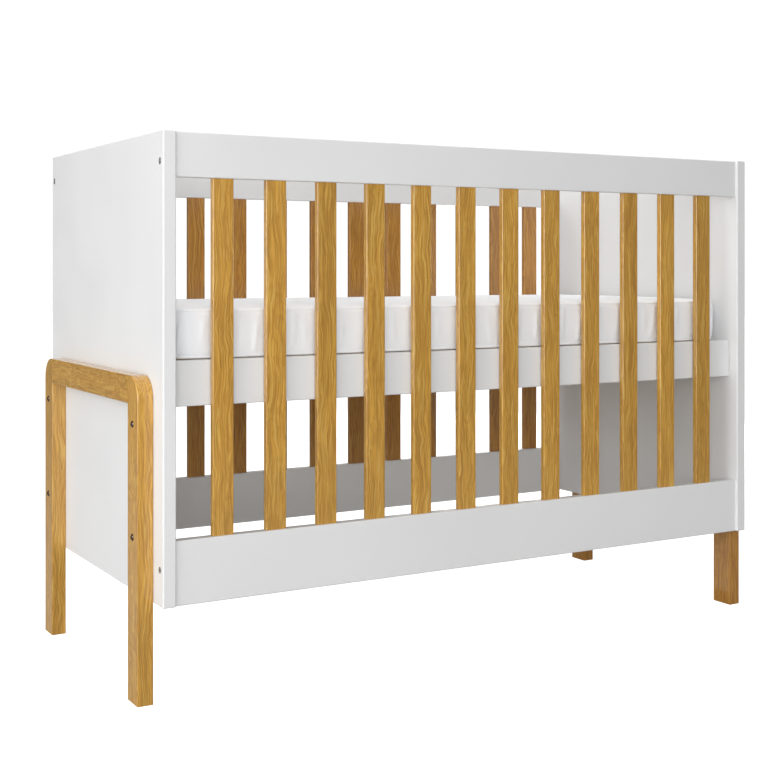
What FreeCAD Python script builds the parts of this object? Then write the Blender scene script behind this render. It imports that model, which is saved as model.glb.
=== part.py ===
"""Baby crib: two full end panels, slatted long sides, inverted-U leg frames at the ends,
and a slatted mattress base that bolts to the end panels at one of three heights.

Axes: X along the length (left end panel at -X), Y across (front side at -Y), Z up.
Origin: on the floor, at the centre of the footprint. All sizes are in millimetres.
"""
import FreeCAD, Part
import os
from FreeCAD import Vector

# Carcass: end panels and the four rails, white lacquered fibreboard
LENGTH = 1360.0            # over the outer faces of the two end panels
DEPTH = 664.0              # front edge to rear edge of an end panel
TOP = 994.0                # top edge of the end panels
CARCASS_BOTTOM = 176.0     # underside of the end panels and the bottom rails
PANEL_T = 24.0
PANEL_ROUND = 2.5          # edge rounding of panels and rails
RAIL_T = 22.0
RAIL_SETBACK = 5.0         # rail's outer face, behind the edge of the end panel
TOP_RAIL_DROP = 1.0        # top rail's top, below the top edge of the end panel
TOP_RAIL_H = 78.0
BOTTOM_RAIL_H = 113.0

# Side slats, oak, set in blind mortises in the middle of the rails' thickness
SLAT_COUNT = 12
SLAT_W = 40.0
SLAT_T = 12.0
SLAT_PITCH = 102.7
SLAT_TENON = 14.0          # depth of a slat's end inside each rail
SLAT_ROUND = 2.0

# Leg frames, oak: two legs with a crossbar between them, outside each end panel
LEG_W = 52.0               # across, along Y
LEG_T = 29.0               # along X
LEG_FRAME_WIDTH = 570.0    # over the two legs
LEG_FRAME_H = 570.0
LEG_CORNER_R = 40.0        # outer top corner
LEG_ROUND = 2.0
CROSSBAR_H = 50.0

# Mattress base, white boards round pine slats
BASE_TOP = 597.0           # at its highest bolt position
BASE_WIDTH = 615.0
BASE_BOARD_H = 80.0
BASE_BOARD_T = 15.0
BASE_END_GAP = 1.5         # base to end panel
BASE_SLAT_COUNT = 9
BASE_SLAT_W = 80.0
BASE_SLAT_T = 12.0
CLEAT = 20.0               # square batten under the ends of the base slats
BASE_STEP = 110.0          # between bolt positions
BASE_POSITIONS = 3

# Mattress: the standard 1300 x 600 size
MATTRESS_L = 1300.0
MATTRESS_W = 600.0
MATTRESS_H = 94.5
MATTRESS_CORNER_R = 50.0
MATTRESS_EDGE_R = 10.0
MATTRESS_GAP = 0.4         # soft underside to the base slats

# Fasteners
BOLT_R = 2.95              # M6 shank
BOLT_HOLE_R = 3.2          # clearance hole
THREAD_R = 3.0             # hole in a nut or insert
SOCKET_FLATS = 4.0         # hexagon socket, across flats
SOCKET_DEPTH = 1.8
LEG_BOLT_HEAD_R = 6.5
LEG_BOLT_HEAD_H = 3.2
LEG_BOLT_HEIGHTS = (289.0, 486.0)
PANEL_BOLT_HEAD_R = 6.0
PANEL_BOLT_HEAD_H = 1.4
PANEL_BOLT_SOCKET_DEPTH = 0.9
PANEL_BOLT_HEIGHTS = (240.0, 942.0)
BARREL_NUT_R = 5.0
BARREL_NUT_L = 14.0
BARREL_NUT_INSET = 30.0    # nut's axis, from the end of the rail
INSERT_R = 5.0
LEG_INSERT_L = 15.0
HEIGHT_INSERT_L = 13.0
BASE_BOLT_Y = 207.0
BASE_BOLT_HEAD_R = 6.5
BASE_BOLT_HEAD_H = 3.2
BASE_BOLT_TIP_GAP = 0.6    # bolt's tip to end panel, so the base can slide past it
DOWEL_R = 3.95
DOWEL_HOLE_R = 4.0
DOWEL_L = 40.0
DOWEL_HOLE_SPARE = 0.5     # glue room at the bottom of a dowel hole
PANEL_DOWEL_DEPTH = 14.0   # part of a rail dowel inside the end panel
BOARD_DOWEL_DEPTH = 10.0   # part of a base dowel inside the long board
TOP_RAIL_DOWELS = (972.0,)
BOTTOM_RAIL_DOWELS = (205.0, 268.0)
CROSSBAR_DOWEL_INSET = 13.0    # from the crossbar's top and bottom faces
BASE_DOWEL_INSET = 20.0        # from the base board's top and bottom edges

# Places worked out from the sizes above
PANEL_OUT_X = LENGTH / 2
PANEL_IN_X = PANEL_OUT_X - PANEL_T
EDGE_Y = DEPTH / 2
RAIL_OUT_Y = EDGE_Y - RAIL_SETBACK
RAIL_MID_Y = RAIL_OUT_Y - RAIL_T / 2
RAIL_IN_Y = RAIL_OUT_Y - RAIL_T
TOP_RAIL_TOP = TOP - TOP_RAIL_DROP
TOP_RAIL_BOTTOM = TOP_RAIL_TOP - TOP_RAIL_H
BOTTOM_RAIL_TOP = CARCASS_BOTTOM + BOTTOM_RAIL_H
LEG_OUT_Y = LEG_FRAME_WIDTH / 2
LEG_IN_Y = LEG_OUT_Y - LEG_W
LEG_MID_Y = LEG_OUT_Y - LEG_W / 2
LEG_OUT_X = PANEL_OUT_X + LEG_T
LEG_MID_X = PANEL_OUT_X + LEG_T / 2
CROSSBAR_BOTTOM = LEG_FRAME_H - CROSSBAR_H
BASE_OUT_X = PANEL_IN_X - BASE_END_GAP
BASE_IN_X = BASE_OUT_X - BASE_BOARD_T
BASE_OUT_Y = BASE_WIDTH / 2
BASE_IN_Y = BASE_OUT_Y - BASE_BOARD_T
BASE_BOTTOM = BASE_TOP - BASE_BOARD_H
BASE_BOLT_Z = BASE_TOP - BASE_BOARD_H / 2
BASE_SLAT_BOTTOM = BASE_TOP - BASE_SLAT_T

ENDS = {"left": -1, "right": 1}
SIDES = {"front": -1, "rear": 1}
X_AXIS = Vector(1, 0, 0)
Y_AXIS = Vector(0, 1, 0)
Z_AXIS = Vector(0, 0, 1)


def block(x0, x1, y0, y1, z0, z1):
    """A box between two corners, given in either order along each axis."""
    low = Vector(min(x0, x1), min(y0, y1), min(z0, z1))
    return Part.makeBox(abs(x1 - x0), abs(y1 - y0), abs(z1 - z0), low)


def rod(start, direction, length, radius):
    return Part.makeCylinder(radius, length, start, direction)


def edges_along(shape, axis):
    """The straight edges of a shape that run along one axis."""
    return [edge for edge in shape.Edges
            if abs(edge.tangentAt(edge.FirstParameter).dot(axis)) > 0.999]


def round_long_edges(shape, axis, radius):
    return shape.makeFillet(radius, edges_along(shape, axis))


def cut_all(shape, tools):
    return shape.cut(Part.makeCompound(tools))


def save(name, shapes):
    """Write one node: a single solid, or a group of separate solids."""
    shape = Part.makeCompound(shapes) if isinstance(shapes, list) else shapes
    shape.exportStep("parts/" + name + ".step")


def hexagon_prism(across_flats, depth):
    """A hexagonal prism on the XY plane, rising along +Z."""
    corner_r = across_flats / 3 ** 0.5
    spin = FreeCAD.Rotation(Z_AXIS, 60)
    corners = [Vector(corner_r, 0, 0)]
    for _ in range(6):
        corners.append(spin.multVec(corners[-1]))
    corners[-1] = corners[0]
    return Part.Face(Part.makePolygon(corners)).extrude(Vector(0, 0, depth))


def bolt(seat, outward, head_r, head_h, socket_depth, shank_l):
    """A domed bolt with a hexagon socket; its head sits on seat and faces outward."""
    dome_r = (head_r ** 2 + head_h ** 2) / (2 * head_h)
    dome = Part.makeSphere(dome_r, Vector(0, 0, head_h - dome_r))
    head = dome.common(Part.makeCylinder(head_r, head_h))
    socket = hexagon_prism(SOCKET_FLATS, socket_depth + 1)
    socket.translate(Vector(0, 0, head_h - socket_depth))
    shank = Part.makeCylinder(BOLT_R, shank_l, Vector(0, 0, -shank_l))
    solid = head.cut(socket).fuse(shank).removeSplitter()
    solid.Placement = FreeCAD.Placement(seat, FreeCAD.Rotation(Z_AXIS, outward))
    return solid


def sleeve(start, direction, length, radius, hole_r):
    """A threaded insert: a plain sleeve with a through hole."""
    return rod(start, direction, length, radius).cut(rod(start, direction, length, hole_r))


def dowel_hole(joint, direction, depth):
    """A dowel hole that starts on the joint face and runs along direction."""
    return rod(joint, direction, depth + DOWEL_HOLE_SPARE, DOWEL_HOLE_R)


def rail_dowel_points(end, side):
    """Where the rail dowels cross the inner face of an end panel."""
    heights = TOP_RAIL_DOWELS + BOTTOM_RAIL_DOWELS
    return [Vector(end * PANEL_IN_X, side * RAIL_MID_Y, z) for z in heights]


def crossbar_dowel_points(end, side):
    """Where the crossbar dowels cross the joint between crossbar and leg."""
    heights = (CROSSBAR_BOTTOM + CROSSBAR_DOWEL_INSET, LEG_FRAME_H - CROSSBAR_DOWEL_INSET)
    return [Vector(end * LEG_MID_X, side * LEG_IN_Y, z) for z in heights]


def base_dowel_points(end, side):
    """Where the base dowels cross the joint between end board and long board."""
    heights = (BASE_BOTTOM + BASE_DOWEL_INSET, BASE_TOP - BASE_DOWEL_INSET)
    x = end * (BASE_OUT_X + BASE_IN_X) / 2
    return [Vector(x, side * BASE_IN_Y, z) for z in heights]


def base_bolt_heights():
    return [BASE_BOLT_Z - step * BASE_STEP for step in range(BASE_POSITIONS)]


def slat_centres():
    first = -(SLAT_COUNT - 1) * SLAT_PITCH / 2
    return [first + i * SLAT_PITCH for i in range(SLAT_COUNT)]


def end_panel(end):
    board = block(end * PANEL_IN_X, end * PANEL_OUT_X, -EDGE_Y, EDGE_Y, CARCASS_BOTTOM, TOP)
    board = board.makeFillet(PANEL_ROUND, board.Edges)
    outward = X_AXIS * end
    holes = []
    for side in SIDES.values():
        for z in PANEL_BOLT_HEIGHTS:
            start = Vector(end * PANEL_IN_X, side * RAIL_MID_Y, z)
            holes.append(rod(start, outward, PANEL_T, BOLT_HOLE_R))
        for z in LEG_BOLT_HEIGHTS:
            start = Vector(end * PANEL_OUT_X, side * LEG_MID_Y, z)
            holes.append(rod(start, -outward, LEG_INSERT_L, INSERT_R))
        for z in base_bolt_heights():
            start = Vector(end * PANEL_IN_X, side * BASE_BOLT_Y, z)
            holes.append(rod(start, outward, HEIGHT_INSERT_L, INSERT_R))
        for point in rail_dowel_points(end, side):
            holes.append(dowel_hole(point, outward, PANEL_DOWEL_DEPTH))
    return cut_all(board, holes)


def rail(side, z_low, z_high, bolt_z, dowel_heights, slat_z_low, slat_z_high):
    """A rail between the end panels, with mortises for the slats between two heights."""
    board = block(-PANEL_IN_X, PANEL_IN_X, side * RAIL_IN_Y, side * RAIL_OUT_Y, z_low, z_high)
    board = round_long_edges(board, X_AXIS, PANEL_ROUND)
    cuts = []
    for x in slat_centres():
        cuts.append(block(x - SLAT_W / 2, x + SLAT_W / 2,
                          side * RAIL_MID_Y - SLAT_T / 2, side * RAIL_MID_Y + SLAT_T / 2,
                          slat_z_low, slat_z_high))
    for end in ENDS.values():
        inward = X_AXIS * -end
        start = Vector(end * PANEL_IN_X, side * RAIL_MID_Y, bolt_z)
        cuts.append(rod(start, inward, BARREL_NUT_INSET + 2 * BARREL_NUT_R, BOLT_HOLE_R))
        nut_hole_l = RAIL_T / 2 + BARREL_NUT_L / 2
        nut_mouth = Vector(end * (PANEL_IN_X - BARREL_NUT_INSET), side * RAIL_IN_Y, bolt_z)
        cuts.append(rod(nut_mouth, Y_AXIS * side, nut_hole_l, BARREL_NUT_R))
        for z in dowel_heights:
            joint = Vector(end * PANEL_IN_X, side * RAIL_MID_Y, z)
            cuts.append(dowel_hole(joint, inward, DOWEL_L - PANEL_DOWEL_DEPTH))
    return cut_all(board, cuts)


def side_slat(side, x):
    slat = block(x - SLAT_W / 2, x + SLAT_W / 2,
                 side * RAIL_MID_Y - SLAT_T / 2, side * RAIL_MID_Y + SLAT_T / 2,
                 BOTTOM_RAIL_TOP - SLAT_TENON, TOP_RAIL_BOTTOM + SLAT_TENON)
    return round_long_edges(slat, Z_AXIS, SLAT_ROUND)


def leg(end, side):
    shape = block(end * PANEL_OUT_X, end * LEG_OUT_X, side * LEG_IN_Y, side * LEG_OUT_Y,
                  0, LEG_FRAME_H)
    corner = [edge for edge in edges_along(shape, X_AXIS)
              if edge.CenterOfMass.z > LEG_FRAME_H - 1
              and abs(edge.CenterOfMass.y) > LEG_OUT_Y - 1]
    shape = shape.makeFillet(LEG_CORNER_R, corner)
    shape = round_long_edges(shape, Z_AXIS, LEG_ROUND)
    holes = []
    for z in LEG_BOLT_HEIGHTS:
        start = Vector(end * PANEL_OUT_X, side * LEG_MID_Y, z)
        holes.append(rod(start, X_AXIS * end, LEG_T, BOLT_HOLE_R))
    for point in crossbar_dowel_points(end, side):
        holes.append(dowel_hole(point, Y_AXIS * side, DOWEL_L / 2))
    return cut_all(shape, holes)


def crossbar(end):
    bar = block(end * PANEL_OUT_X, end * LEG_OUT_X, -LEG_IN_Y, LEG_IN_Y,
                CROSSBAR_BOTTOM, LEG_FRAME_H)
    bar = round_long_edges(bar, Y_AXIS, LEG_ROUND)
    holes = []
    for side in SIDES.values():
        for point in crossbar_dowel_points(end, side):
            holes.append(dowel_hole(point, Y_AXIS * -side, DOWEL_L / 2))
    return cut_all(bar, holes)


def base_long_board(side):
    board = block(-BASE_OUT_X, BASE_OUT_X, side * BASE_IN_Y, side * BASE_OUT_Y,
                  BASE_BOTTOM, BASE_TOP)
    outer_edges = [edge for edge in edges_along(board, X_AXIS)
                   if abs(edge.CenterOfMass.y) > BASE_OUT_Y - 1]
    board = board.makeFillet(PANEL_ROUND, outer_edges)
    holes = []
    for end in ENDS.values():
        for point in base_dowel_points(end, side):
            holes.append(dowel_hole(point, Y_AXIS * side, BOARD_DOWEL_DEPTH))
    return cut_all(board, holes)


def base_end_board(end):
    board = block(end * BASE_IN_X, end * BASE_OUT_X, -BASE_IN_Y, BASE_IN_Y,
                  BASE_BOTTOM, BASE_TOP)
    holes = []
    for side in SIDES.values():
        start = Vector(end * BASE_IN_X, side * BASE_BOLT_Y, BASE_BOLT_Z)
        holes.append(rod(start, X_AXIS * end, BASE_BOARD_T, BOLT_HOLE_R))
        for point in base_dowel_points(end, side):
            holes.append(dowel_hole(point, Y_AXIS * -side, DOWEL_L - BOARD_DOWEL_DEPTH))
    return cut_all(board, holes)


def base_cleat(side):
    return block(-BASE_IN_X, BASE_IN_X, side * (BASE_IN_Y - CLEAT), side * BASE_IN_Y,
                 BASE_SLAT_BOTTOM - CLEAT, BASE_SLAT_BOTTOM)


def base_slats():
    """Equal slats with equal gaps between the end boards."""
    gap = (2 * BASE_IN_X - BASE_SLAT_COUNT * BASE_SLAT_W) / (BASE_SLAT_COUNT + 1)
    slats = []
    for i in range(BASE_SLAT_COUNT):
        x = -BASE_IN_X + gap + i * (BASE_SLAT_W + gap)
        slat = block(x, x + BASE_SLAT_W, -BASE_IN_Y, BASE_IN_Y, BASE_SLAT_BOTTOM, BASE_TOP)
        slats.append(round_long_edges(slat, Y_AXIS, SLAT_ROUND))
    return slats


def mattress():
    bottom = BASE_TOP + MATTRESS_GAP
    pad = block(-MATTRESS_L / 2, MATTRESS_L / 2, -MATTRESS_W / 2, MATTRESS_W / 2,
                bottom, bottom + MATTRESS_H)
    pad = round_long_edges(pad, Z_AXIS, MATTRESS_CORNER_R)
    rims = [edge for edge in pad.Edges
            if abs(edge.tangentAt(edge.FirstParameter).z) < 0.001]
    return pad.makeFillet(MATTRESS_EDGE_R, rims)


def panel_bolts():
    """Bolts through the end panels into the ends of the rails."""
    shank_l = PANEL_T + BARREL_NUT_INSET + 2 * BARREL_NUT_R
    return [bolt(Vector(end * PANEL_OUT_X, side * RAIL_MID_Y, z), X_AXIS * end,
                 PANEL_BOLT_HEAD_R, PANEL_BOLT_HEAD_H, PANEL_BOLT_SOCKET_DEPTH, shank_l)
            for end in ENDS.values() for side in SIDES.values() for z in PANEL_BOLT_HEIGHTS]


def barrel_nuts():
    """Cross dowels in the rails, each with a cross hole for a panel bolt."""
    nuts = []
    for end in ENDS.values():
        for side in SIDES.values():
            for z in PANEL_BOLT_HEIGHTS:
                centre = Vector(end * (PANEL_IN_X - BARREL_NUT_INSET), side * RAIL_MID_Y, z)
                body = rod(centre - Y_AXIS * (BARREL_NUT_L / 2), Y_AXIS, BARREL_NUT_L,
                           BARREL_NUT_R)
                thread = rod(centre - X_AXIS * BARREL_NUT_R, X_AXIS, 2 * BARREL_NUT_R, THREAD_R)
                nuts.append(body.cut(thread))
    return nuts


def leg_bolts():
    """Bolts through the legs into the inserts in the end panels."""
    shank_l = LEG_T + LEG_INSERT_L - 1
    return [bolt(Vector(end * LEG_OUT_X, side * LEG_MID_Y, z), X_AXIS * end,
                 LEG_BOLT_HEAD_R, LEG_BOLT_HEAD_H, SOCKET_DEPTH, shank_l)
            for end in ENDS.values() for side in SIDES.values() for z in LEG_BOLT_HEIGHTS]


def leg_inserts():
    return [sleeve(Vector(end * PANEL_OUT_X, side * LEG_MID_Y, z), X_AXIS * -end,
                   LEG_INSERT_L, INSERT_R, THREAD_R)
            for end in ENDS.values() for side in SIDES.values() for z in LEG_BOLT_HEIGHTS]


def height_inserts():
    """Inserts in the end panels' inner faces: a pair per end at each base height."""
    return [sleeve(Vector(end * PANEL_IN_X, side * BASE_BOLT_Y, z), X_AXIS * end,
                   HEIGHT_INSERT_L, INSERT_R, THREAD_R)
            for end in ENDS.values() for side in SIDES.values() for z in base_bolt_heights()]


def frame_dowels():
    """Wooden dowels in the joints of rail to panel and crossbar to leg."""
    dowels = []
    for end in ENDS.values():
        for side in SIDES.values():
            for point in rail_dowel_points(end, side):
                start = point + X_AXIS * (end * PANEL_DOWEL_DEPTH)
                dowels.append(rod(start, X_AXIS * -end, DOWEL_L, DOWEL_R))
            for point in crossbar_dowel_points(end, side):
                start = point + Y_AXIS * (side * DOWEL_L / 2)
                dowels.append(rod(start, Y_AXIS * -side, DOWEL_L, DOWEL_R))
    return dowels


def base_dowels():
    """Wooden dowels in the corners of the mattress base."""
    dowels = []
    for end in ENDS.values():
        for side in SIDES.values():
            for point in base_dowel_points(end, side):
                start = point + Y_AXIS * (side * BOARD_DOWEL_DEPTH)
                dowels.append(rod(start, Y_AXIS * -side, DOWEL_L, DOWEL_R))
    return dowels


def base_bolts():
    """Bolts through the base's end boards, headed on the inside."""
    shank_l = PANEL_IN_X - BASE_BOLT_TIP_GAP - BASE_IN_X
    return [bolt(Vector(end * BASE_IN_X, side * BASE_BOLT_Y, BASE_BOLT_Z), X_AXIS * -end,
                 BASE_BOLT_HEAD_R, BASE_BOLT_HEAD_H, SOCKET_DEPTH, shank_l)
            for end in ENDS.values() for side in SIDES.values()]


os.makedirs("parts", exist_ok=True)

for end_name, end_sign in ENDS.items():
    save("end_panel_" + end_name, end_panel(end_sign))
    save(end_name + "_crossbar", crossbar(end_sign))
    save("base_" + end_name + "_board", base_end_board(end_sign))
    for side_name, side_sign in SIDES.items():
        save(end_name + "_" + side_name + "_leg", leg(end_sign, side_sign))

for side_name, side_sign in SIDES.items():
    save(side_name + "_top_rail",
         rail(side_sign, TOP_RAIL_BOTTOM, TOP_RAIL_TOP, PANEL_BOLT_HEIGHTS[1], TOP_RAIL_DOWELS,
              TOP_RAIL_BOTTOM, TOP_RAIL_BOTTOM + SLAT_TENON))
    save(side_name + "_bottom_rail",
         rail(side_sign, CARCASS_BOTTOM, BOTTOM_RAIL_TOP, PANEL_BOLT_HEIGHTS[0],
              BOTTOM_RAIL_DOWELS, BOTTOM_RAIL_TOP - SLAT_TENON, BOTTOM_RAIL_TOP))
    save("base_" + side_name + "_board", base_long_board(side_sign))
    save("base_" + side_name + "_cleat", base_cleat(side_sign))
    for number, slat_x in enumerate(slat_centres(), start=1):
        save("%s_slat_%02d" % (side_name, number), side_slat(side_sign, slat_x))

for number, base_slat in enumerate(base_slats(), start=1):
    save("base_slat_%d" % number, base_slat)

save("mattress", mattress())
save("panel_bolts", panel_bolts())
save("barrel_nuts", barrel_nuts())
save("leg_bolts", leg_bolts())
save("leg_inserts", leg_inserts())
save("height_inserts", height_inserts())
save("frame_dowels", frame_dowels())
save("base_dowels", base_dowels())
save("base_bolts", base_bolts())
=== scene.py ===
"""Looks of the baby crib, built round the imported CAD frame. Units are metres, in the frame's own axes."""
import math
import random

import bpy
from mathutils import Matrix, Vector


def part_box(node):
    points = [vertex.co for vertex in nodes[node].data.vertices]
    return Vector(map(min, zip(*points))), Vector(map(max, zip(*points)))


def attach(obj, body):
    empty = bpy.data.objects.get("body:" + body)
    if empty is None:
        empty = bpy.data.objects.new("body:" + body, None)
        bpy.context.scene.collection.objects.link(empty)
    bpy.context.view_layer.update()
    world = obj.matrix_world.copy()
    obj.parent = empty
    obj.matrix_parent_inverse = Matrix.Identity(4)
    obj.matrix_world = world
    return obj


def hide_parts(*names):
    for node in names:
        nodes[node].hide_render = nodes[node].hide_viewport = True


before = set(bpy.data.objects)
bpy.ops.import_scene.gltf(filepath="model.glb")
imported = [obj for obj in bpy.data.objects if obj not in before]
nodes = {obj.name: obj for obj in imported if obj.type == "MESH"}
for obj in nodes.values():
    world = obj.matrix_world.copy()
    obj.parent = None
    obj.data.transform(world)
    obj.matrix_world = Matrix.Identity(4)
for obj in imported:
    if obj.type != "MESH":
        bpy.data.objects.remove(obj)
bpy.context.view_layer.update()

# ---------------------------------------------------------------- camera
# Level camera at the photograph's viewing angle: verticals stay vertical, the lens is shifted down.
EYE = Vector((-1.4863, -2.4787, 0.760))
HEADING = math.radians(30.035)      # clockwise from +Y, seen from above
LENS_MM = 62.2
SENSOR_MM = 36.0
LENS_SHIFT_Y = -0.1525

camera_data = bpy.data.cameras.new("camera")
camera_data.lens = LENS_MM
camera_data.sensor_width = SENSOR_MM
camera_data.shift_y = LENS_SHIFT_Y
camera_data.clip_end = 100.0
camera = bpy.data.objects.new("camera", camera_data)
camera.location = EYE
camera.rotation_euler = (math.radians(90), 0, -HEADING)
bpy.context.scene.collection.objects.link(camera)
bpy.context.scene.camera = camera
bpy.context.scene.view_settings.view_transform = "Standard"

# ---------------------------------------------------------------- node helpers


def new_material(name):
    material = bpy.data.materials.new(name)
    material.use_nodes = True
    tree = material.node_tree
    return material, tree, tree.nodes["Principled BSDF"]


def feed(tree, socket, value):
    """Link a socket to another node's output, or set it to a plain value."""
    if isinstance(value, bpy.types.NodeSocket):
        tree.links.new(value, socket)
    else:
        socket.default_value = value


def add(tree, kind, inputs, **settings):
    node = tree.nodes.new("ShaderNode" + kind)
    for key, value in settings.items():
        setattr(node, key, value)
    for key, value in inputs.items():
        feed(tree, node.inputs[key], value)
    return node


def calc(tree, operation, *values):
    return add(tree, "Math", dict(enumerate(values)), operation=operation).outputs[0]


def vector_calc(tree, operation, *values):
    return add(tree, "VectorMath", dict(enumerate(values)), operation=operation).outputs[0]


def dot(tree, first, second):
    node = add(tree, "VectorMath", {0: first, 1: second}, operation="DOT_PRODUCT")
    return node.outputs["Value"]


def noise(tree, vector, scale, detail, roughness=0.55):
    inputs = {"Vector": vector, "Scale": scale, "Detail": detail, "Roughness": roughness}
    return add(tree, "TexNoise", inputs).outputs[0]


def remap(tree, value, low, high, to_low=0.0, to_high=1.0):
    """Eases a value from one range to another, held at the ends."""
    inputs = {"Value": value, "From Min": low, "From Max": high, "To Min": to_low, "To Max": to_high}
    return add(tree, "MapRange", inputs, interpolation_type="SMOOTHSTEP").outputs[0]


def blend_colours(tree, factor, first, second, mode="MIX"):
    """The Mix node keeps its colour sockets at inputs 6 and 7 and its colour result at output 2."""
    node = add(tree, "Mix", {}, data_type="RGBA", blend_type=mode)
    feed(tree, node.inputs[0], factor)
    feed(tree, node.inputs[6], first)
    feed(tree, node.inputs[7], second)
    return node.outputs[2]


def bump(tree, height, distance, strength):
    inputs = {"Height": height, "Distance": distance, "Strength": strength}
    return add(tree, "Bump", inputs).outputs[0]


def object_position(tree):
    return add(tree, "TexCoord", {}).outputs["Object"]


def edge_mask(tree, radius):
    """1 on edges sharper than the radius, 0 on flat faces."""
    rounded = add(tree, "Bevel", {"Radius": radius}, samples=4).outputs[0]
    flat = add(tree, "NewGeometry", {}).outputs["Normal"]
    return remap(tree, dot(tree, rounded, flat), 1.0, 0.85)


# ---------------------------------------------------------------- lacquer
LACQUER_DULL = (0.755, 0.756, 0.757, 1)
LACQUER_BRIGHT = (0.778, 0.779, 0.780, 1)
# painted highlight: a lighter white, and the width and strength with which it is laid along the lacquer's
# edges
LACQUER_PAINTED_HIGHLIGHT = (0.85, 0.85, 0.85, 1)
LACQUER_HIGHLIGHT_WIDTH = 0.002
LACQUER_HIGHLIGHT_MIX = 0.2
ORANGE_PEEL = 420.0        # bumps in a metre
ORANGE_PEEL_DEPTH = 0.00025


def lacquer():
    """White satin lacquer: faint orange peel, a slightly uneven tone, and a painted highlight that
    brightens the edges.
    """
    material, tree, shader = new_material("white_lacquer")
    place = object_position(tree)
    cloud = noise(tree, place, 2.2, 2.0)
    tone = blend_colours(tree, remap(tree, cloud, 0.35, 0.65), LACQUER_DULL, LACQUER_BRIGHT)
    # painted highlight: the edges are mixed towards a lighter white
    edges = edge_mask(tree, LACQUER_HIGHLIGHT_WIDTH)
    tone = blend_colours(tree, calc(tree, "MULTIPLY", edges, LACQUER_HIGHLIGHT_MIX), tone, LACQUER_PAINTED_HIGHLIGHT)
    feed(tree, shader.inputs["Base Color"], tone)
    smear = noise(tree, place, 9.0, 4.0)
    feed(tree, shader.inputs["Roughness"], remap(tree, smear, 0.3, 0.7, 0.38, 0.48))
    shader.inputs["Specular IOR Level"].default_value = 0.5
    peel = noise(tree, place, ORANGE_PEEL, 2.0)
    feed(tree, shader.inputs["Normal"], bump(tree, peel, ORANGE_PEEL_DEPTH, 0.10))
    return material


# ---------------------------------------------------------------- timber
# Each kind of streak: how many in a metre across the grain, how many along it, and octaves of detail
FIBRE = (430.0, 11.0, 3.0)
PALE_LINES = (300.0, 12.0, 2.0)
PORES = (900.0, 26.0, 2.0)
PATCHES = (55.0, 9.0, 2.0)
BROAD_TONE = (22.0, 1.6, 3.0)
WANDER = (16.0, 9.0, 2.0)
SLOW_BEND = (15.0, 3.4, 2.0)
QUICK_BEND = (60.0, 26.0, 3.0)

WANDER_REACH = 0.034       # how far the fine lines wander, end to end
SLOW_BEND_REACH = 0.046    # the same for the growth rings' long waves
QUICK_BEND_REACH = 0.0105  # and for their short ones
HEART_OFFSET = 0.035       # how far to either side of a piece the heart may lie
HEART_DEPTH = (0.018, 0.055)
SEED_SPREAD = 37.0         # moves each piece to its own part of the noise
LATE_WOOD_MIX = 0.46       # how far the late wood darkens a ring
FIBRE_MIX = 0.72
PALE_MIX = 0.50
PORE_MIX = 0.45
# painted highlight: width of the band along the timber's edges that is brightened
TIMBER_HIGHLIGHT_WIDTH = 0.0015
PORE_DEPTH = 0.00018


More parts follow.
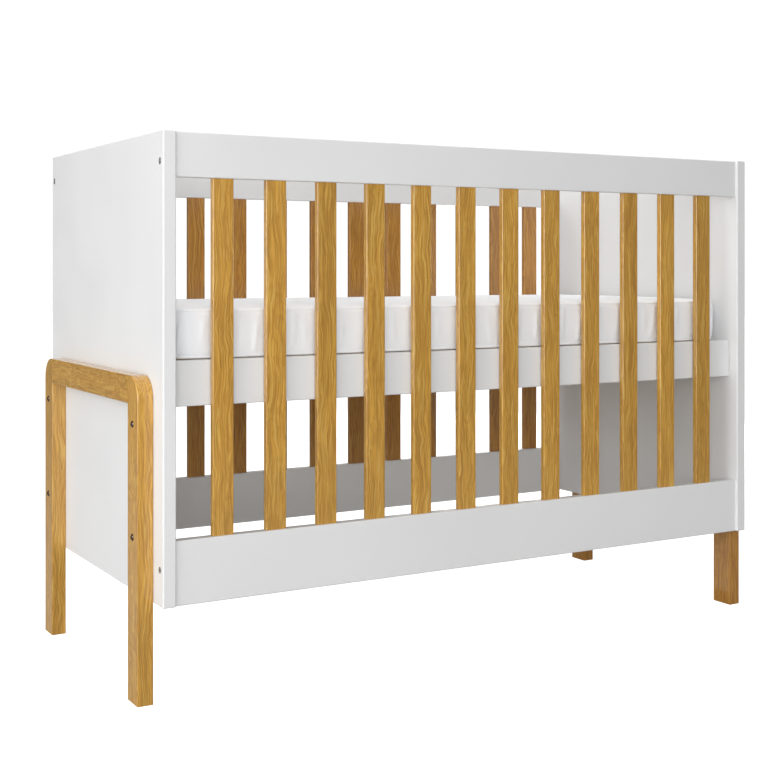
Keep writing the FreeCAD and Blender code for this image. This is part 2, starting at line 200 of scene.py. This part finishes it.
def timber(name, colours, grain_axis, cell, centre, ring=0.0038, gloss=0.42, coat=1.0):
    """Wood, clear-lacquered where coat is 1, with a painted highlight along its edges. Each piece sits in a
    cell of its own, which seeds its grain.

    colours are those of the late wood, the early wood and the palest lines.
    cell is the spacing of like pieces along X, Y and Z, and centre is where one of them lies.
    """
    dark, light, pale = colours
    material, tree, shader = new_material(name)
    place = object_position(tree)
    shifted = vector_calc(tree, "SUBTRACT", place, [c - s / 2 for c, s in zip(centre, cell)])
    index = vector_calc(tree, "FLOOR", vector_calc(tree, "DIVIDE", shifted, cell))
    seed = add(tree, "TexWhiteNoise", {"Vector": index}, noise_dimensions="3D").outputs["Color"]
    middle = vector_calc(tree, "MULTIPLY", vector_calc(tree, "ADD", index, (0.5, 0.5, 0.5)), cell)
    local = vector_calc(tree, "SUBTRACT", shifted, middle)
    parts = add(tree, "SeparateXYZ", {0: local}).outputs
    order = {"X": (1, 2, 0), "Y": (0, 2, 1), "Z": (0, 1, 2)}[grain_axis]
    across, depth, along = [parts[i] for i in order]
    chance = add(tree, "SeparateXYZ", {0: seed}).outputs
    grain = add(tree, "CombineXYZ", {0: across, 1: depth, 2: along}).outputs[0]
    away = add(tree, "VectorMath", {0: seed, "Scale": SEED_SPREAD}, operation="SCALE").outputs[0]

    def streaks(kind, base=grain):
        """Noise stretched along the grain."""
        scale_across, scale_along, detail = kind
        stretched = vector_calc(tree, "MULTIPLY", base, (scale_across, scale_across, scale_along))
        return noise(tree, vector_calc(tree, "ADD", stretched, away), 1.0, detail)

    def sway(kind, reach):
        """Streaks as a shift to either side."""
        return calc(tree, "MULTIPLY", calc(tree, "SUBTRACT", streaks(kind), 0.5), reach)

    # Fine lines wander a few millimetres from side to side as they run along the board
    moved = calc(tree, "ADD", across, sway(WANDER, WANDER_REACH))
    waved = add(tree, "CombineXYZ", {0: moved, 1: depth, 2: along}).outputs[0]

    # Growth rings round a heart that lies a little outside the piece, bent by slow noise
    heart_across = remap(tree, chance[0], 0.0, 1.0, -HEART_OFFSET, HEART_OFFSET)
    heart_depth = remap(tree, chance[1], 0.0, 1.0, *HEART_DEPTH)
    off_across = calc(tree, "SUBTRACT", across, heart_across)
    off_depth = calc(tree, "ADD", depth, heart_depth)
    radius = calc(tree, "SQRT", calc(tree, "ADD", calc(tree, "MULTIPLY", off_across, off_across),
                                     calc(tree, "MULTIPLY", off_depth, off_depth)))
    bend = calc(tree, "ADD", sway(SLOW_BEND, SLOW_BEND_REACH), sway(QUICK_BEND, QUICK_BEND_REACH))
    bent = calc(tree, "ADD", radius, bend)
    phase = calc(tree, "FRACT", calc(tree, "DIVIDE", bent, ring))
    rise = remap(tree, phase, 0.25, 0.80)
    fall = remap(tree, phase, 0.84, 1.0, 1.0, 0.0)
    patchy = remap(tree, streaks(PATCHES), 0.32, 0.62, 0.30, 1.0)
    late = calc(tree, "MULTIPLY", calc(tree, "MULTIPLY", rise, fall), patchy)

    fibre = streaks(FIBRE, waved)
    pale_line = remap(tree, streaks(PALE_LINES, waved), 0.52, 0.66, 0.0, PALE_MIX)
    pores = calc(tree, "MULTIPLY", remap(tree, streaks(PORES, waved), 0.60, 0.72),
                 remap(tree, late, 0.0, 0.7, 1.0, 0.25))
    broad = streaks(BROAD_TONE)

    tone = blend_colours(tree, calc(tree, "MULTIPLY", late, LATE_WOOD_MIX), light, dark)
    tone = blend_colours(tree, remap(tree, fibre, 0.38, 0.62, 0.0, FIBRE_MIX), tone, dark)
    tone = blend_colours(tree, pale_line, tone, pale)
    in_pore = [c * 0.5 for c in dark[:3]] + [1]
    tone = blend_colours(tree, calc(tree, "MULTIPLY", pores, PORE_MIX), tone, in_pore)
    shade = remap(tree, broad, 0.3, 0.7, 0.92, 1.08)
    shade = calc(tree, "MULTIPLY", shade, remap(tree, chance[2], 0.0, 1.0, 0.96, 1.04))
    # painted highlight: the edges are brightened by up to 12 percent, on top of the random tone
    edges = edge_mask(tree, TIMBER_HIGHLIGHT_WIDTH)
    shade = calc(tree, "MULTIPLY", shade, remap(tree, edges, 0.0, 1.0, 1.0, 1.12))
    grey = add(tree, "CombineXYZ", {0: shade, 1: shade, 2: shade}).outputs[0]
    feed(tree, shader.inputs["Base Color"], blend_colours(tree, 1.0, tone, grey, "MULTIPLY"))

    rough = calc(tree, "ADD", gloss, calc(tree, "MULTIPLY", calc(tree, "SUBTRACT", fibre, 0.5), 0.20))
    feed(tree, shader.inputs["Roughness"], calc(tree, "ADD", rough, calc(tree, "MULTIPLY", pores, 0.2)))
    shader.inputs["Coat Weight"].default_value = coat
    shader.inputs["Coat Roughness"].default_value = 0.15
    shader.inputs["Coat IOR"].default_value = 1.65
    shader.inputs["Specular IOR Level"].default_value = 0.15
    relief = calc(tree, "SUBTRACT", calc(tree, "MULTIPLY", fibre, 0.35),
                  calc(tree, "ADD", pores, calc(tree, "MULTIPLY", late, 0.15)))
    feed(tree, shader.inputs["Normal"], bump(tree, relief, PORE_DEPTH, 0.5))
    return material


# ---------------------------------------------------------------- metal and cloth
TURNING_MARK_DEPTH = 0.00008
YARN_PITCH = 0.0009
YARN_DEPTH = 0.00018
CLOTH_DULL = (0.908, 0.926, 0.950, 1)
CLOTH_BRIGHT = (0.928, 0.946, 0.970, 1)
# painted shade: the colour laid in the weave's hollows between the yarns
CLOTH_YARN_GAP_SHADE = (0.66, 0.655, 0.65, 1)


def metal(name, colour, roughness, scratch_scale):
    """Plated or machined metal with fine turning marks."""
    material, tree, shader = new_material(name)
    place = object_position(tree)
    marks = noise(tree, place, scratch_scale, 3.0, 0.7)
    spots = noise(tree, place, 160.0, 4.0, 0.6)
    darker = [c * 0.72 for c in colour[:3]] + [1]
    feed(tree, shader.inputs["Base Color"],
         blend_colours(tree, remap(tree, spots, 0.35, 0.65), darker, colour))
    shader.inputs["Metallic"].default_value = 1.0
    feed(tree, shader.inputs["Roughness"], remap(tree, marks, 0.3, 0.7, roughness - 0.08, roughness + 0.10))
    feed(tree, shader.inputs["Normal"], bump(tree, marks, TURNING_MARK_DEPTH, 0.35))
    return material


def cover_cloth():
    """White woven mattress cover: two crossing yarn sets with painted shade between them, a soft sheen and
    slightly uneven yarns.
    """
    material, tree, shader = new_material("mattress_cloth")
    place = object_position(tree)
    turn = 2 * math.pi / YARN_PITCH
    uneven = noise(tree, place, 70.0, 2.0)
    parts = add(tree, "SeparateXYZ", {0: place}).outputs
    waves = [calc(tree, "SINE", calc(tree, "MULTIPLY", part, turn)) for part in parts]
    weave = calc(tree, "ADD", calc(tree, "MULTIPLY", waves[0], waves[2]),
                 calc(tree, "MULTIPLY", waves[1], calc(tree, "ADD", waves[0], waves[2])))
    cloud = noise(tree, place, 6.0, 3.0)
    tone = blend_colours(tree, remap(tree, cloud, 0.3, 0.7), CLOTH_DULL, CLOTH_BRIGHT)
    # painted shade: the hollows between the yarns are darkened
    shadow = calc(tree, "MULTIPLY", remap(tree, weave, -1.2, 0.2, 1.0, 0.0), 0.08)
    tone = blend_colours(tree, shadow, tone, CLOTH_YARN_GAP_SHADE)
    feed(tree, shader.inputs["Base Color"], tone)
    shader.inputs["Roughness"].default_value = 0.86
    shader.inputs["Sheen Weight"].default_value = 0.25
    shader.inputs["Sheen Roughness"].default_value = 0.45
    shader.inputs["Specular IOR Level"].default_value = 0.25
    height = calc(tree, "ADD", calc(tree, "MULTIPLY", weave, 0.5), uneven)
    feed(tree, shader.inputs["Normal"], bump(tree, height, YARN_DEPTH, 0.45))
    return material


# ---------------------------------------------------------------- stage
SKY_LOBES = (                       # where the sky's light comes from, and how strongly
    ((-0.90, -0.43, 0.0), 1.22),
    ((0.50, 0.866, 0.0), 0.06),
    ((0.50, -0.866, 0.0), 0.17),
)
SKY_ALL_ROUND = 0.06
BACKDROP = 1.05                     # floor and sky as the camera sees them
WHITE = (1, 1, 1, 1)
FLOOR_HALF = 14.0
FLOOR_DARK = (0.40, 0.40, 0.40, 1)
FLOOR_LIGHT = (0.42, 0.42, 0.42, 1)
LIGHTS = (                          # name, place, target, size, watts
    ("left_softbox", (-3.4, -0.9, 0.9), (-0.6, -0.3, 0.6), (2.4, 1.8), 41),
    ("front_softbox", (-1.75, -3.55, 1.0), (-0.3, 0.0, 0.6), (2.6, 1.7), 55),
    ("overhead_softbox", (0.0, 0.4, 3.0), (0.0, 0.0, 0.6), (2.4, 2.0), 37),
    ("rear_softbox", (2.9, 2.6, 1.2), (0.0, 0.0, 0.6), (2.4, 1.8), 78),
    ("card_under_crib", (0.40, 0.0, 0.01), (0.40, 0.0, 1.0), (0.45, 0.5), 0.30),
)


def make_floor():
    """A pale floor that reads as white as the backdrop."""
    half = FLOOR_HALF
    corners = [(-half, -half, 0), (half, -half, 0), (half, half, 0), (-half, half, 0)]
    mesh = bpy.data.meshes.new("floor")
    mesh.from_pydata(corners, [], [(0, 1, 2, 3)])
    floor = bpy.data.objects.new("floor", mesh)
    bpy.context.scene.collection.objects.link(floor)
    material, tree, shader = new_material("pale_floor")
    speck = noise(tree, object_position(tree), 30.0, 4.0)
    feed(tree, shader.inputs["Base Color"], blend_colours(tree, speck, FLOOR_DARK, FLOOR_LIGHT))
    shader.inputs["Roughness"].default_value = 0.9
    shader.inputs["Specular IOR Level"].default_value = 0.1
    shader.inputs["Emission Color"].default_value = WHITE
    seen = add(tree, "LightPath", {}).outputs["Is Camera Ray"]
    feed(tree, shader.inputs["Emission Strength"], calc(tree, "MULTIPLY", seen, BACKDROP))
    mesh.materials.append(material)


def make_world():
    """A sky that lights the crib mostly from the left, and is plain white where the camera looks."""
    world = bpy.data.worlds.new("studio")
    bpy.context.scene.world = world
    world.use_nodes = True
    tree = world.node_tree
    background = tree.nodes["Background"]
    direction = add(tree, "TexCoord", {}).outputs["Generated"]
    glow = SKY_ALL_ROUND
    for toward, level in SKY_LOBES:
        facing = calc(tree, "MAXIMUM", dot(tree, direction, toward), 0.0)
        lobe = calc(tree, "MULTIPLY", facing, level)
        glow = calc(tree, "ADD", glow, lobe)
    seen = add(tree, "LightPath", {}).outputs["Is Camera Ray"]
    strength = add(tree, "Mix", {0: seen, 2: glow, 3: BACKDROP}, data_type="FLOAT").outputs[0]
    feed(tree, background.inputs["Strength"], strength)
    background.inputs["Color"].default_value = WHITE


def make_light(name, place, target, size, watts):
    lamp = bpy.data.lights.new(name, "AREA")
    lamp.shape = "RECTANGLE"
    lamp.size, lamp.size_y = size
    lamp.energy = watts
    holder = bpy.data.objects.new(name, lamp)
    holder.location = place
    holder.rotation_euler = (Vector(target) - Vector(place)).to_track_quat("-Z", "Y").to_euler()
    holder.visible_camera = False
    bpy.context.scene.collection.objects.link(holder)


make_floor()
make_world()
for light in LIGHTS:
    make_light(*light)

# ---------------------------------------------------------------- CAD nodes get their finishes
# Each wood is its late wood, its early wood and its palest lines
OAK = ((0.350, 0.162, 0.021, 1), (0.615, 0.330, 0.048, 1), (0.700, 0.460, 0.110, 1))
PINE = ((0.52, 0.33, 0.15, 1), (0.78, 0.60, 0.36, 1), (0.86, 0.70, 0.46, 1))
BEECH = ((0.46, 0.27, 0.13, 1), (0.66, 0.43, 0.24, 1), (0.74, 0.52, 0.32, 1))
OAK_SHADE_TINT = (0.80, 0.68, 0.58)         # painted shade: darkens and reddens the oak of the rear slats and the right legs, which lie in shade
SHADED_OAK = [(r * OAK_SHADE_TINT[0], g * OAK_SHADE_TINT[1], b * OAK_SHADE_TINT[2], 1) for r, g, b, _ in OAK]
WHOLE_CRIB = 3.0                    # a cell this long holds any piece


def middle_of(node):
    low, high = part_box(node)
    return (low + high) / 2


def spacing(first, second):
    """How far apart two like pieces are along X, Y and Z, with room for a whole piece where they agree."""
    gap = middle_of(second) - middle_of(first)
    return [abs(g) if abs(g) > 0.01 else WHOLE_CRIB for g in gap]


slat_cell = spacing("front_slat_01", "rear_slat_02")
leg_cell = spacing("left_front_leg", "right_rear_leg")
bar_cell = spacing("left_crossbar", "right_crossbar")
base_cell = spacing("base_slat_1", "base_slat_2")
cleat_cell = spacing("base_front_cleat", "base_rear_cleat")

white = lacquer()
slat_oak = timber("oak_slats", OAK, "Z", slat_cell, middle_of("front_slat_01"))
leg_oak = timber("oak_legs", OAK, "Z", leg_cell, middle_of("left_front_leg"))
bar_oak = timber("oak_crossbars", OAK, "Y", bar_cell, middle_of("left_crossbar"))
# painted shade: the rear slats and the right legs take a darker, redder copy of the oak
rear_slat_shaded_oak = timber("oak_rear_slats_painted_shade", SHADED_OAK, "Z", slat_cell, middle_of("front_slat_01"))
right_leg_shaded_oak = timber("oak_right_legs_painted_shade", SHADED_OAK, "Z", leg_cell, middle_of("left_front_leg"))
pine = timber("pine_base_slats", PINE, "Y", base_cell, middle_of("base_slat_1"),
              ring=0.007, gloss=0.6, coat=0.0)
cleat_pine = timber("pine_cleats", PINE, "X", cleat_cell, middle_of("base_front_cleat"),
                    ring=0.006, gloss=0.6, coat=0.0)
beech = timber("beech_dowels", BEECH, "X", [WHOLE_CRIB] * 3, Vector((0, 0, 1)),
               ring=0.003, gloss=0.6, coat=0.0)
steel = metal("zinc_plated_steel", (0.56, 0.55, 0.53, 1), 0.30, 900.0)
# painted shade: the leg bolts' metal is darkened to stand for the shadow in the holes they sit in
leg_bolt_shade_steel = metal("leg_bolt_steel_painted_shade", (0.150, 0.110, 0.085, 1), 0.20, 900.0)
brass = metal("machined_brass", (0.70, 0.52, 0.22, 1), 0.28, 700.0)

FINISHES = [                        # a node takes the first of these that its name contains
    ("rear_slat_", rear_slat_shaded_oak), ("slat_", slat_oak), ("dowels", beech), ("inserts", brass),
    ("leg_bolts", leg_bolt_shade_steel), ("bolts", steel), ("nuts", steel), ("cleat", cleat_pine),
    ("right_front_leg", right_leg_shaded_oak), ("right_rear_leg", right_leg_shaded_oak), ("_leg", leg_oak),
    ("crossbar", bar_oak),
    ("end_panel", white), ("rail", white), ("board", white),
]


def finish_for(node):
    if node.startswith("base_slat"):
        return pine
    return next((material for key, material in FINISHES if key in node), white)


for node, piece in nodes.items():
    finish = finish_for(node)
    for slot in piece.material_slots:
        slot.material = finish

# ---------------------------------------------------------------- mattress
PAD_STEP = 0.007           # mesh spacing while the cover swells; it is halved afterwards
PAD_CORNER = 0.050         # plan radius of the corners
PAD_EDGE = 0.007           # radius of the top and bottom edges
PAD_SMALLER = (0.0050, 0.0050, 0.0030)   # the cover starts this much smaller all round, then swells
PAD_UNDERSIDE_UP = 0.0004  # its underside stays this far above the foam block's
SWELL_LIMIT = 0.0050       # the furthest the cover may move as it swells
SWELL_FRAMES = 20
HELD_STRIP = 0.004         # strip of the top beside the edge that is held still
SEAM_BELOW_EDGE = 0.0060   # the border is sewn on this far from the top and bottom faces
SEAM_WIDTH = 0.0018
SEAM_DEPTH = 0.0014
FOLD_EVERY = 0.036         # one soft fold per this length of border
FOLD_WIDTH = (0.0040, 0.0068)
FOLD_DEPTH = (0.0014, 0.0030)
FOLD_SEED = 5
HALF_THICKNESS = 0.045     # over which a leaning fold leans
LEVEL_FACE = 0.85          # upright part of a normal above which a face counts as top or bottom


def spread(half, edge, step):
    """Coordinates from -half to half: close together near the ends, evenly spaced between."""
    fine = [half - edge * i / 4 for i in range(4)]
    inner = half - edge
    count = max(1, round(2 * inner / step))
    even = [-inner + 2 * inner * i / count for i in range(count + 1)]
    return [-v for v in fine] + even + fine[::-1]


def square_to_disc(u, v):
    """Moves a point of the unit square's corner region onto the quarter disc."""
    return u * math.sqrt(1 - v * v / 2), v * math.sqrt(1 - u * u / 2)


def round_profile(x, y, z, half):
    """Rounds the top and bottom edges by sliding rings inwards as they near them."""
    inset = min(half.x - abs(x), half.y - abs(y))
    rise = half.z - abs(z)
    if inset >= PAD_EDGE or rise >= PAD_EDGE:
        return x, y, z
    u, w = square_to_disc(1 - inset / PAD_EDGE, 1 - rise / PAD_EDGE)
    new_inset = PAD_EDGE * (1 - u)
    new_z = math.copysign(half.z - PAD_EDGE * (1 - w), z)
    return (x * (half.x - new_inset) / (half.x - inset),
            y * (half.y - new_inset) / (half.y - inset), new_z)


def round_corner(x, y, half):
    """Rounds the plan by moving a square corner's points onto the quarter disc."""
    over_x = abs(x) - (half.x - PAD_CORNER)
    over_y = abs(y) - (half.y - PAD_CORNER)
    if over_x <= 0 or over_y <= 0:
        return x, y
    u, v = square_to_disc(over_x / PAD_CORNER, over_y / PAD_CORNER)
    return (math.copysign(half.x - PAD_CORNER + u * PAD_CORNER, x),
            math.copysign(half.y - PAD_CORNER + v * PAD_CORNER, y))


def shell_mesh(name, xs, ys, zs):
    """A closed box of quads on the given coordinates."""
    index, points, faces = {}, [], []

    def point(i, j, k):
        key = (i, j, k)
        if key not in index:
            index[key] = len(points)
            points.append((xs[i], ys[j], zs[k]))
        return index[key]

    last = (len(xs) - 1, len(ys) - 1, len(zs) - 1)
    for axis in range(3):
        a, b = (axis + 1) % 3, (axis + 2) % 3
        for side in (0, last[axis]):
            for i in range(last[a]):
                for j in range(last[b]):
                    corners = []
                    for di, dj in ((0, 0), (1, 0), (1, 1), (0, 1)):
                        key = [0, 0, 0]
                        key[axis], key[a], key[b] = side, i + di, j + dj
                        corners.append(point(*key))
                    faces.append(corners if side else corners[::-1])
    mesh = bpy.data.meshes.new(name)
    mesh.from_pydata(points, [], faces)
    return mesh


def border_length(half):
    """Once round the rounded plan."""
    return 4 * (half.x + half.y - 2 * PAD_CORNER) + 2 * math.pi * PAD_CORNER


def border_position(x, y, half):
    """How far round the border a point lies, from the left end of the front's straight part."""
    side_x, side_y = half.x - PAD_CORNER, half.y - PAD_CORNER
    quarter = math.pi / 2 * PAD_CORNER
    over_x, over_y = abs(x) - side_x, abs(y) - side_y
    if over_x > 0 and over_y > 0:
        arc = PAD_CORNER * math.atan2(over_y, over_x)
        if y < 0:
            return 2 * side_x + quarter - arc if x > 0 else 4 * (side_x + side_y) + 3 * quarter + arc
        rear_left = 4 * side_x + 2 * side_y + 3 * quarter - arc
        return 2 * (side_x + side_y) + quarter + arc if x > 0 else rear_left
    if over_y > over_x:
        return x + side_x if y < 0 else 3 * side_x + 2 * (side_y + quarter) - x
    if x > 0:
        return 2 * side_x + quarter + y + side_y
    return 4 * side_x + 3 * (side_y + quarter) - y


def make_folds(length, rng):
    """Where the border is gathered: place, lean, width, depth, and how high and low each fold runs.

    Two folds in three stand out and the rest are hollows.
    """
    folds = []
    count = round(length / FOLD_EVERY)
    for i in range(count):
        folds.append({
            "at": (i + rng.uniform(-0.35, 0.35)) * length / count,
            "lean": rng.uniform(-0.16, 0.16),
            "width": rng.uniform(*FOLD_WIDTH),
            "depth": rng.choice([-1, 1, 1]) * rng.uniform(*FOLD_DEPTH),
            "top": rng.uniform(0.55, 1.0),
            "bottom": rng.uniform(-1.0, -0.45),
        })
    return folds


def fold_height(along, level, folds, length):
    """Sum of the folds at a place on the border; level is -1 at the bottom edge and 1 at the top."""
    total = 0.0
    for fold in folds:
        gap = along - fold["at"] - fold["lean"] * level * HALF_THICKNESS
        gap = (gap + length / 2) % length - length / 2
        reach = gap / fold["width"]
        if abs(reach) > 3:
            continue
        ease_top = min(1.0, max(0.0, (fold["top"] - level) / 0.4))
        ease_bottom = min(1.0, max(0.0, (level - fold["bottom"]) / 0.4))
        shape = math.exp(-reach * reach) * (1 - 0.45 * math.tanh(2.2 * reach))
        total += fold["depth"] * shape * ease_top * ease_bottom
    return total


def crease(mesh, half):
    """Presses the border's soft folds and the two seams into the swollen cover."""
    length = border_length(half)
    folds = make_folds(length, random.Random(FOLD_SEED))
    normals = [vertex.normal.copy() for vertex in mesh.vertices]
    for vertex, normal in zip(mesh.vertices, normals):
        if abs(normal.z) > LEVEL_FACE:
            continue
        x, y, z = vertex.co
        level = max(-1.0, min(1.0, z / half.z))
        seam = math.exp(-((abs(z) - half.z + SEAM_BELOW_EDGE) / SEAM_WIDTH) ** 2)
        relief = fold_height(border_position(x, y, half), level, folds, length) * (1 - level ** 6)
        vertex.co += Vector((normal.x, normal.y, 0)) * (relief - SEAM_DEPTH * seam)


def evaluated(piece):
    """The piece as its modifiers leave it."""
    return piece.evaluated_get(bpy.context.evaluated_depsgraph_get())


def swell(pad, held, spare):
    """Blows the cover up over its foam: held points stay put, and spare cloth has length to fold."""
    for name, weights in (("held", held), ("spare", spare)):
        group = pad.vertex_groups.new(name=name)
        for i, weight in enumerate(weights):
            if weight > 0:
                group.add([i], weight, "REPLACE")
    cover = pad.modifiers.new("cover", "CLOTH")
    cloth = cover.settings
    cloth.quality = 5
    cloth.mass = 0.25
    cloth.tension_stiffness = 20
    cloth.compression_stiffness = 12
    cloth.shear_stiffness = 5
    cloth.bending_stiffness = 0.15
    cloth.use_pressure = True
    cloth.uniform_pressure_force = 4.0
    cloth.vertex_group_mass = "held"
    cloth.vertex_group_shrink = "spare"
    cloth.shrink_min = 0.0
    cloth.shrink_max = -0.03
    cloth.effector_weights.gravity = 0.0
    cover.point_cache.frame_end = SWELL_FRAMES
    scene = bpy.context.scene
    for number in range(1, SWELL_FRAMES + 1):
        scene.frame_set(number)
    swollen = evaluated(pad).to_mesh()
    shifts = [moved.co - vertex.co for moved, vertex in zip(swollen.vertices, pad.data.vertices)]
    for vertex, shift in zip(pad.data.vertices, shifts):
        if shift.length > 0:
            allowed = SWELL_LIMIT * math.tanh(shift.length / SWELL_LIMIT)
            vertex.co += shift * (allowed / shift.length)
    pad.modifiers.remove(cover)
    pad.vertex_groups.clear()
    scene.frame_set(1)


def make_mattress():
    """A foam pad in a sewn cover: crowned top, full border with soft folds, a seam near each edge."""
    low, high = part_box("mattress")
    centre = (low + high) / 2
    half = (high - low) / 2 - Vector(PAD_SMALLER)
    centre.z -= PAD_SMALLER[2] - PAD_UNDERSIDE_UP
    mesh = shell_mesh("mattress_pad", *[spread(side, PAD_EDGE, PAD_STEP) for side in half])
    seam_level = 1 - SEAM_BELOW_EDGE / half.z
    held, spare = [], []
    for vertex in mesh.vertices:
        x, y, z = vertex.co
        inset = min(half.x - abs(x), half.y - abs(y))
        level = z / half.z
        x, y, z = round_profile(x, y, z, half)
        x, y = round_corner(x, y, half)
        on_border = abs(level) < 1 - 1e-6
        vertex.co = (x, y, z)
        sewn_edge = on_border and level > seam_level
        by_top_edge = level > 0 and not on_border and inset < HELD_STRIP
        held.append(1.0 if level < -seam_level or sewn_edge or by_top_edge else 0.0)
        spare.append(1.0 if on_border and abs(level) < seam_level else 0.0)
    pad = bpy.data.objects.new("mattress_pad", mesh)
    bpy.context.scene.collection.objects.link(pad)
    swell(pad, held, spare)
    smoother = pad.modifiers.new("finer", "SUBSURF")
    smoother.levels = 1
    mesh = bpy.data.meshes.new_from_object(evaluated(pad))
    pad.modifiers.remove(smoother)
    pad.data = mesh
    crease(mesh, half)
    for vertex in mesh.vertices:
        vertex.co += centre
    for polygon in mesh.polygons:
        polygon.use_smooth = True
    mesh.materials.append(cover_cloth())
    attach(pad, "mattress")
    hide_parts("mattress")


make_mattress()
